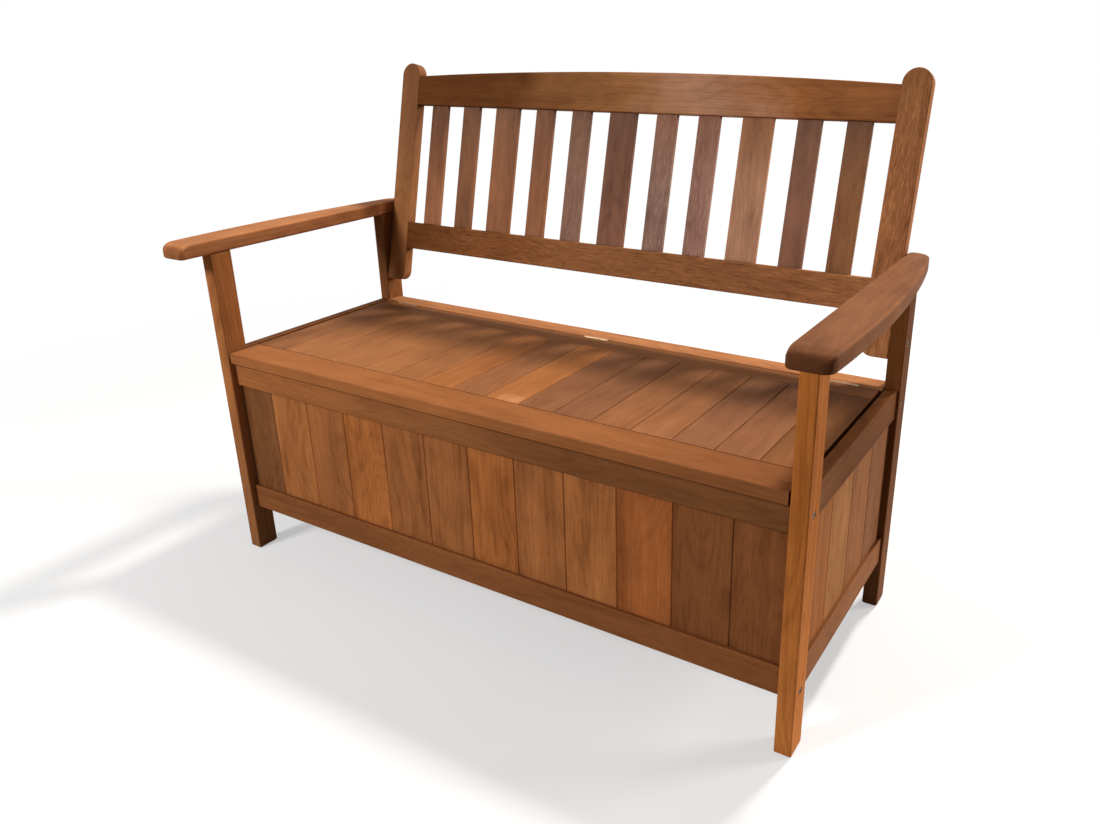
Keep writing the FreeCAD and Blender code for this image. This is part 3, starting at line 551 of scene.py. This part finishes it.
def dress_back():
    lean = -(math.pi / 2 - BACK_LEAN)
    # The right stile darkens towards its top: painted shade
    dress(wood("stile_right_wood", "Y", 61, lean=lean, drift=((0.76, "wheat"), (0.94, "tan")), pores=0.9,
               flecks=1.6), "right_back_stile")
    # The left stile is lighter just above the armrest and darker at its top: painted light and shade
    dress(wood("stile_left_wood", "Y", 63, lean=lean, drift=((0.56, "tan"), (0.64, "ochre"), (0.80, "dusk")),
               figure=0.5, pores=0.5), "left_back_stile")
    # The back's top rail: dark left end, painted shade, and a pale middle, a painted sheen
    top_tones = ((-0.5, "bark"), (-0.3, "bark"), (0.0, "ochre"), (0.1, "fawn"), (0.2, "fawn"),
                 (0.34, "amber"), (0.5, "cocoa"))
    # The back's bottom rail darkens towards its left end: painted shade
    bottom_tones = ((-0.5, "bark"), (-0.25, "cocoa"), (-0.05, "tan"), (0.2, "tan"), (0.4, "wheat"))
    dress(wood("back_top_rail_wood", "X", 65, drift=top_tones, figure=0.6, pores=0.45), "back_top_rail")
    dress(wood("back_bottom_rail_wood", "X", 67, drift=bottom_tones, pores=0.85, flecks=1.1),
          "back_bottom_rail")
    # Back slats: painted shade at the top, and on some a painted sheen and painted glints
    for number, tones in enumerate(BACK_SLATS, 1):
        flecks = FLECKS_AND_PAINTED_GLINTS if number in SLATS_WITH_PAINTED_GLINTS else PLAIN_FLECKS
        dress(wood(f"back_slat_wood_{number:02d}", "Y", 70 + number, lean=lean, polish=0.06, figure=0.6,
                   drift=tuple(zip(SLAT_TONE_PLACES, tones)), clouds=0.8, flecks=flecks),
              f"back_slat_{number:02d}")


def link_object(name, data):
    made = bpy.data.objects.new(name, data)
    bpy.context.scene.collection.objects.link(made)
    return made


def screw_head(mesh, place, profile):
    """Adds a turned screw head with a cross recess. The profile runs from its seat to its flat top."""
    rings = []
    for radius, height in profile:
        ring = []
        for k in range(HEAD_STEPS):
            angle = 2 * math.pi * k / HEAD_STEPS
            point = Vector((radius * math.cos(angle), radius * math.sin(angle), height))
            ring.append(mesh.verts.new(place @ point))
        rings.append(ring)
    for low, high in zip(rings, rings[1:]):
        for k in range(HEAD_STEPS):
            after = (k + 1) % HEAD_STEPS
            mesh.faces.new((low[k], low[after], high[after], high[k]))
    mesh.faces.new(rings[0][::-1])

    top = profile[-1][1]
    a, b = CROSS_WIDTH / 2, CROSS_REACH
    outline = [(b, -a), (b, a), (a, a), (a, b), (-a, b), (-a, a),
               (-b, a), (-b, -a), (-a, -a), (-a, -b), (a, -b), (a, -a)]
    mouth = [mesh.verts.new(place @ Vector((x, y, top))) for x, y in outline]
    foot = [mesh.verts.new(place @ Vector((CROSS_TAPER * x, CROSS_TAPER * y, top - CROSS_DEPTH)))
            for x, y in outline]
    count = len(outline)
    for k in range(count):
        after = (k + 1) % count
        mesh.faces.new((mouth[k], foot[k], foot[after], mouth[after]))
    mesh.faces.new(foot)
    rim = [mesh.edges.get((rings[-1][k], rings[-1][(k + 1) % HEAD_STEPS])) for k in range(HEAD_STEPS)]
    lip = [mesh.edges.get((mouth[k], mouth[(k + 1) % count])) for k in range(count)]
    bmesh.ops.triangle_fill(mesh, use_beauty=True, edges=rim + lip)


def make_screws(name, body, places, profile, material):
    mesh = bmesh.new()
    for place in places:
        screw_head(mesh, place, profile)
    bmesh.ops.recalc_face_normals(mesh, faces=mesh.faces)
    data = bpy.data.meshes.new(name)
    mesh.to_mesh(data)
    mesh.free()
    data.materials.append(material)
    screws = link_object(name, data)
    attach(screws, body)


def facing_place(place, direction, turn):
    """A place whose upward axis points in a direction, turned about that axis."""
    facing = Vector(direction).to_track_quat("Z", "Y").to_matrix().to_4x4()
    return Matrix.Translation(place) @ facing @ Matrix.Rotation(turn, 4, "Z")


def dress_hardware():
    """Bolts and hinges, and the screws that hold the hinge leaves and the lid battens."""
    dress(steel("bolt_steel", (0.17, 0.12, 0.07), 0.42), "leg_bolts", "barrel_nuts")
    # One hinge metal in two tones: lighter on the middle hinge, a painted highlight, and darker on the outer
    # two, painted shade
    shaded_hinge_finish = steel("hinge_painted_shade", (0.30, 0.20, 0.12), 0.5)
    lit_hinge_finish = steel("hinge_painted_highlight", (0.62, 0.44, 0.27), 0.45)
    lid_places = []
    frame_places = []
    for side, finish in zip(SIDES, (shaded_hinge_finish, lit_hinge_finish, shaded_hinge_finish)):
        dress(finish, f"{side}_hinge_lid_leaf", f"{side}_hinge_frame_leaf", f"{side}_hinge_pin")
        pin_low, pin_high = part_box(f"{side}_hinge_pin")
        low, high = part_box(f"{side}_hinge_lid_leaf")
        frame_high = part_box(f"{side}_hinge_frame_leaf")[1]
        pin_height = (pin_low.z + pin_high.z) / 2
        knuckle = high.z - pin_height
        height = (low.z + pin_height - knuckle - LEAF_GAP) / 2
        middle = (pin_low.x + pin_high.x) / 2
        for step, x in enumerate((middle - LEAF_SCREW_SPREAD, middle + LEAF_SCREW_SPREAD)):
            turn = LEAF_TURN_FIRST + LEAF_TURN_STEP * step + middle
            lid_places.append(facing_place((x, low.y + LEAF_THICK, height), (0, 1, 0), turn))
            frame_places.append(facing_place((x, frame_high.y - LEAF_THICK, height), (0, -1, 0),
                                             turn + LEAF_TURN_OTHER))
    screw_steel = steel("screw_steel", (0.56, 0.52, 0.44), 0.32)
    make_screws("hinge_screws_lid", "lid", lid_places, SUNK_HEAD, screw_steel)
    make_screws("hinge_screws_frame", "frame", frame_places, SUNK_HEAD, screw_steel)

    batten_places = []
    for side in SIDES:
        low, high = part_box(f"lid_batten_{side}")
        middle = (low.x + high.x) / 2
        for y in (low.y + BATTEN_SCREW_INSET, high.y - BATTEN_SCREW_INSET):
            for x in (middle - BATTEN_SCREW_SPREAD, middle + BATTEN_SCREW_SPREAD):
                turn = BATTEN_TURNS_PER_METRE[0] * x + BATTEN_TURNS_PER_METRE[1] * y
                batten_places.append(facing_place((x, y, low.z), (0, 0, -1), turn))
    make_screws("batten_screws", "lid", batten_places, PAN_HEAD, screw_steel)


def seen_directly(tree):
    """1 for what the camera, a reflection or glass looks at, and 0 for the light that surfaces pass on."""
    paths = add(tree, "LightPath").outputs
    seen = math_node(tree, "MAXIMUM", paths["Is Camera Ray"], paths["Is Glossy Ray"])
    return math_node(tree, "MAXIMUM", seen, paths["Is Transmission Ray"])


def make_floor():
    """A pale floor that keeps the shadow near the bench and fades to white further off."""
    half = FLOOR_HALF
    corners = [(-half, -half, 0), (half, -half, 0), (half, half, 0), (-half, half, 0)]
    mesh = bpy.data.meshes.new("floor")
    mesh.from_pydata(corners, [], [(0, 1, 2, 3)])
    floor = link_object("floor", mesh)
    material, tree, shader = new_material("floor_pale")
    shader.inputs["Roughness"].default_value = 0.9
    shader.inputs["Specular IOR Level"].default_value = 0.1
    seen = seen_directly(tree)
    pale = colour_ramp(tree, seen, [(0.0, FLOOR_LIT), (1.0, FLOOR_SEEN)])
    tree.links.new(pale, shader.inputs["Base Color"])
    distance = vector_value(tree, "LENGTH", add(tree, "TexCoord").outputs["Object"])
    fade_span = {"From Min": FLOOR_FADE_FROM, "From Max": FLOOR_FADE_TO, "To Min": FLOOR_FADE_LEAST}
    far = add(tree, "MapRange", {"Value": distance, **fade_span}, interpolation_type="SMOOTHSTEP")
    white = add(tree, "Emission", {"Color": (*WHITE, 1.0), "Strength": 1.0})
    fade = add(tree, "MixShader", {"Fac": math_node(tree, "MULTIPLY", far.outputs["Result"], seen)})
    tree.links.new(shader.outputs["BSDF"], fade.inputs[1])
    tree.links.new(white.outputs["Emission"], fade.inputs[2])
    tree.links.new(fade.outputs["Shader"], tree.nodes["Material Output"].inputs["Surface"])
    mesh.materials.append(material)


def make_lights():
    for name, place, size, power, colour in LIGHTS:
        light = bpy.data.lights.new(name, "AREA")
        light.shape = "RECTANGLE"
        light.size, light.size_y = size
        light.energy = power
        light.color = colour
        lamp = link_object(name, light)
        lamp.location = place
        lamp.rotation_euler = (Vector(LIGHT_AIM) - Vector(place)).to_track_quat("-Z", "Y").to_euler()


def make_world():
    world = bpy.data.worlds.new("studio")
    world.use_nodes = True
    tree = world.node_tree
    strength = mapped(tree, seen_directly(tree), 0.0, 1.0, WORLD_LIGHT, WORLD_SEEN)
    background = tree.nodes["Background"]
    background.inputs["Color"].default_value = (*WHITE, 1.0)
    tree.links.new(strength, background.inputs["Strength"])
    bpy.context.scene.world = world


def make_camera():
    camera = bpy.data.cameras.new("camera")
    camera.sensor_fit = "HORIZONTAL"
    camera.sensor_width = SENSOR_WIDTH
    camera.lens = CAMERA_LENS
    camera.shift_x, camera.shift_y = CAMERA_SHIFT
    holder = link_object("camera", camera)
    turn = Matrix.Rotation(math.radians(CAMERA_TURN), 4, "Z")
    tilt = Matrix.Rotation(math.radians(90 + CAMERA_TILT), 4, "X")
    roll = Matrix.Rotation(math.radians(CAMERA_ROLL), 4, "Z")
    holder.matrix_world = Matrix.Translation(CAMERA_PLACE) @ turn @ tilt @ roll
    bpy.context.scene.camera = holder


bpy.context.scene.view_settings.view_transform = "Standard"
dress_frame()
dress_boards()
dress_lid()
dress_back()
dress_hardware()
make_floor()
make_lights()
make_world()
make_camera()
